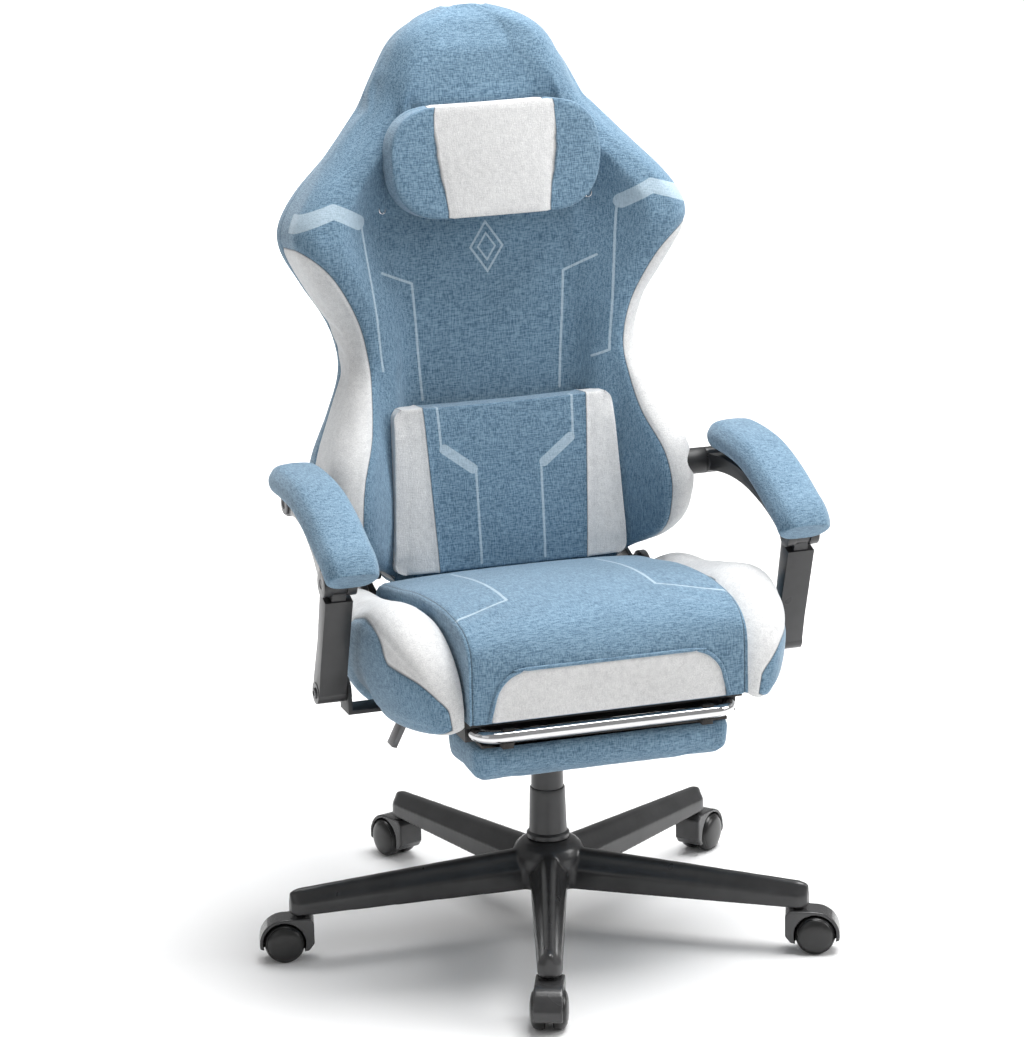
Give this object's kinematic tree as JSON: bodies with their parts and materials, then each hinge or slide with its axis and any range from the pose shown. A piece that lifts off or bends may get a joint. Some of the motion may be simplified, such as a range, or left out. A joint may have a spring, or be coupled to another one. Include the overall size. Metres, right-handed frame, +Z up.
{
  "type": "gaming chair",
  "caption": "Bucket-style gaming chair on a star base with castors: padded winged backrest with head and lumbar pillows, linked padded armrests and a pull-out fold-over footrest.",
  "frame": {"origin": "on the floor, under the middle of the bounding box", "axes": "+Z up, the chair faces -Y, +X is to the right of a viewer who faces it"},
  "size_m": [0.7234, 0.7404, 1.1556],
  "materials": {
    "blue_fabric": "heathered linen-like weave, mid blue",
    "pale_fabric": "fine felt-like weave, pale grey",
    "dark_plastic": "dark grey satin nylon",
    "gloss_plastic": "glossy near-black nylon",
    "chrome": "polished",
    "grey_steel": "dark zinc, satin",
    "black_steel": "black powder coat",
    "plywood": "bare birch ply"
  },
  "bodies": {
    "base": {"star_base": "dark_plastic", "gas_cylinder": "black_steel", "cover_lower": "dark_plastic"},
    "castor_1": {"castor_hood_1": "gloss_plastic", "castor_axle_1": "grey_steel"},
    "wheel_l_1": {"castor_wheel_l_1": "gloss_plastic"},
    "wheel_r_1": {"castor_wheel_r_1": "gloss_plastic"},
    "castor_2": {"castor_hood_2": "gloss_plastic", "castor_axle_2": "grey_steel"},
    "wheel_l_2": {"castor_wheel_l_2": "gloss_plastic"},
    "wheel_r_2": {"castor_wheel_r_2": "gloss_plastic"},
    "castor_3": {"castor_hood_3": "gloss_plastic", "castor_axle_3": "grey_steel"},
    "wheel_l_3": {"castor_wheel_l_3": "gloss_plastic"},
    "wheel_r_3": {"castor_wheel_r_3": "gloss_plastic"},
    "castor_4": {"castor_hood_4": "gloss_plastic", "castor_axle_4": "grey_steel"},
    "wheel_l_4": {"castor_wheel_l_4": "gloss_plastic"},
    "wheel_r_4": {"castor_wheel_r_4": "gloss_plastic"},
    "castor_5": {"castor_hood_5": "gloss_plastic", "castor_axle_5": "grey_steel"},
    "wheel_l_5": {"castor_wheel_l_5": "gloss_plastic"},
    "wheel_r_5": {"castor_wheel_r_5": "gloss_plastic"},
    "cover_middle": {"cover_middle": "dark_plastic"},
    "piston": {"piston_rod": "chrome"},
    "mechanism": {"mechanism_housing": "black_steel", "tilt_pin": "grey_steel", "cover_upper": "dark_plastic"},
    "tension_knob": {"tension_knob": "gloss_plastic"},
    "lift_lever": {"lift_lever": "grey_steel"},
    "seat": {"tilt_plate": "black_steel", "seat_pan": "plywood", "seat_cushion": "blue_fabric", "seat_bolster_left": "pale_fabric", "seat_bolster_right": "pale_fabric", "footrest_rail_left": "black_steel", "footrest_rail_right": "black_steel", "recline_bracket_left": "black_steel", "recline_bracket_right": "black_steel", "recline_cover_left": "dark_plastic", "recline_cover_right": "dark_plastic", "strut_bracket_left": "grey_steel", "strut_bracket_right": "grey_steel"},
    "footrest_frame": {"footrest_tube": "chrome"},
    "footrest": {"footrest_board": "black_steel", "footrest_pad": "blue_fabric"},
    "recline_lever": {"recline_lever": "grey_steel"},
    "backrest": {"back_cushion": "blue_fabric", "back_frame": "black_steel", "back_panel": "blue_fabric", "head_pillow": "blue_fabric", "lumbar_pillow": "blue_fabric", "arm_mount_left": "black_steel", "arm_mount_right": "black_steel"},
    "arm_left": {"arm_left": "dark_plastic", "arm_pad_left": "blue_fabric"},
    "strut_left": {"strut_left": "dark_plastic"},
    "arm_right": {"arm_right": "dark_plastic", "arm_pad_right": "blue_fabric"},
    "strut_right": {"strut_right": "dark_plastic"}
  },
  "joints": [
    {"name": "castor_swivel_1", "type": "hinge", "parent": "base", "child": "castor_1", "pos_m": [-0.08066, -0.31386, 0.0575], "axis": [0, 0, 1], "continuous": true},
    {"name": "castor_spin_l_1", "type": "hinge", "parent": "castor_1", "child": "wheel_l_1", "pos_m": [-0.08911, -0.33417, 0.02528], "axis": [0.9232, -0.3843, 0], "continuous": true},
    {"name": "castor_spin_r_1", "type": "hinge", "parent": "castor_1", "child": "wheel_r_1", "pos_m": [-0.08911, -0.33417, 0.02528], "axis": [0.9232, -0.3843, 0], "continuous": true},
    {"name": "castor_swivel_2", "type": "hinge", "parent": "base", "child": "castor_2", "pos_m": [0.28953, -0.19785, 0.0575], "axis": [0, 0, 1], "continuous": true},
    {"name": "castor_spin_l_2", "type": "hinge", "parent": "castor_2", "child": "wheel_l_2", "pos_m": [0.30984, -0.20631, 0.02528], "axis": [0.3843, 0.9232, 0], "continuous": true},
    {"name": "castor_spin_r_2", "type": "hinge", "parent": "castor_2", "child": "wheel_r_2", "pos_m": [0.30984, -0.20631, 0.02528], "axis": [0.3843, 0.9232, 0], "continuous": true},
    {"name": "castor_swivel_3", "type": "hinge", "parent": "base", "child": "castor_3", "pos_m": [0.29359, 0.19006, 0.0575], "axis": [0, 0, 1], "continuous": true},
    {"name": "castor_spin_l_3", "type": "hinge", "parent": "castor_3", "child": "wheel_l_3", "pos_m": [0.31035, 0.20432, 0.02528], "axis": [-0.6481, 0.7615, 0], "continuous": true},
    {"name": "castor_spin_r_3", "type": "hinge", "parent": "castor_3", "child": "wheel_r_3", "pos_m": [0.31035, 0.20432, 0.02528], "axis": [-0.6481, 0.7615, 0], "continuous": true},
    {"name": "castor_swivel_4", "type": "hinge", "parent": "base", "child": "castor_4", "pos_m": [-0.07408, 0.3138, 0.0575], "axis": [0, 0, 1], "continuous": true},
    {"name": "castor_spin_l_4", "type": "hinge", "parent": "castor_4", "child": "wheel_l_4", "pos_m": [-0.08139, 0.33455, 0.02528], "axis": [-0.9432, -0.3322, 0], "continuous": true},
    {"name": "castor_spin_r_4", "type": "hinge", "parent": "castor_4", "child": "wheel_r_4", "pos_m": [-0.08139, 0.33455, 0.02528], "axis": [-0.9432, -0.3322, 0], "continuous": true},
    {"name": "castor_swivel_5", "type": "hinge", "parent": "base", "child": "castor_5", "pos_m": [-0.30538, 0.00236, 0.0575], "axis": [0, 0, 1], "continuous": true},
    {"name": "castor_spin_l_5", "type": "hinge", "parent": "castor_5", "child": "wheel_l_5", "pos_m": [-0.32667, 0.0079, 0.02528], "axis": [-0.2521, -0.9677, 0], "continuous": true},
    {"name": "castor_spin_r_5", "type": "hinge", "parent": "castor_5", "child": "wheel_r_5", "pos_m": [-0.32667, 0.0079, 0.02528], "axis": [-0.2521, -0.9677, 0], "continuous": true},
    {"name": "cover_slide", "type": "slide", "parent": "base", "child": "cover_middle", "axis": [0, 0, 1], "range_m": [0, 0.04]},
    {"name": "gas_lift", "type": "slide", "parent": "base", "child": "piston", "axis": [0, 0, 1], "range_m": [0, 0.08]},
    {"name": "seat_swivel", "type": "hinge", "parent": "piston", "child": "mechanism", "pos_m": [0.0246, -0.0011, 0.3], "axis": [0, 0, 1], "continuous": true},
    {"name": "knob_turn", "type": "hinge", "parent": "mechanism", "child": "tension_knob", "pos_m": [0.0246, -0.0611, 0.27], "axis": [0, 0, 1], "continuous": true},
    {"name": "lift_lever_raise", "type": "hinge", "parent": "mechanism", "child": "lift_lever", "pos_m": [-0.0254, 0.0109, 0.296], "axis": [0, 1, 0], "range_deg": [0, 5], "stiffness_Nm_per_rad": 3, "springref_deg": -17.19},
    {"name": "seat_tilt", "type": "hinge", "parent": "mechanism", "child": "seat", "pos_m": [0.0246, -0.0671, 0.326], "axis": [-1, 0, 0], "range_deg": [0, 10], "stiffness_Nm_per_rad": 300, "springref_deg": -20.05},
    {"name": "footrest_slide", "type": "slide", "parent": "seat", "child": "footrest_frame", "axis": [0, -1, 0], "range_m": [0, 0.26]},
    {"name": "footrest_flip", "type": "hinge", "parent": "footrest_frame", "child": "footrest", "pos_m": [0.0246, -0.2411, 0.346], "axis": [-1, 0, 0], "range_deg": [0, 180]},
    {"name": "recline_lever_pull", "type": "hinge", "parent": "seat", "child": "recline_lever", "pos_m": [0.0246, 0.1519, 0.374], "axis": [-1, 0, 0], "range_deg": [0, 25], "stiffness_Nm_per_rad": 2, "springref_deg": -17.19},
    {"name": "recline", "type": "hinge", "parent": "seat", "child": "backrest", "pos_m": [0.0246, 0.1639, 0.412], "axis": [-1, 0, 0], "range_deg": [0, 45]},
    {"name": "arm_pivot_left", "type": "hinge", "parent": "backrest", "child": "arm_left", "pos_m": [0.0246, 0.1139, 0.566], "axis": [-1, 0, 0], "range_deg": [-45, 0]},
    {"name": "strut_pivot_left", "type": "hinge", "parent": "seat", "child": "strut_left", "pos_m": [0.0246, -0.0631, 0.37], "axis": [-1, 0, 0], "range_deg": [0, 45]},
    {"name": "arm_pivot_right", "type": "hinge", "parent": "backrest", "child": "arm_right", "pos_m": [0.0246, 0.1139, 0.566], "axis": [-1, 0, 0], "range_deg": [-45, 0]},
    {"name": "strut_pivot_right", "type": "hinge", "parent": "seat", "child": "strut_right", "pos_m": [0.0246, -0.0631, 0.37], "axis": [-1, 0, 0], "range_deg": [0, 45]}
  ],
  "couplings": [
    {"joint": "cover_slide", "follows": "gas_lift", "ratio": 0.5},
    {"joint": "arm_pivot_left", "follows": "recline", "ratio": -1},
    {"joint": "strut_pivot_left", "follows": "recline", "ratio": 1},
    {"joint": "arm_pivot_right", "follows": "recline", "ratio": -1},
    {"joint": "strut_pivot_right", "follows": "recline", "ratio": 1}
  ]
}
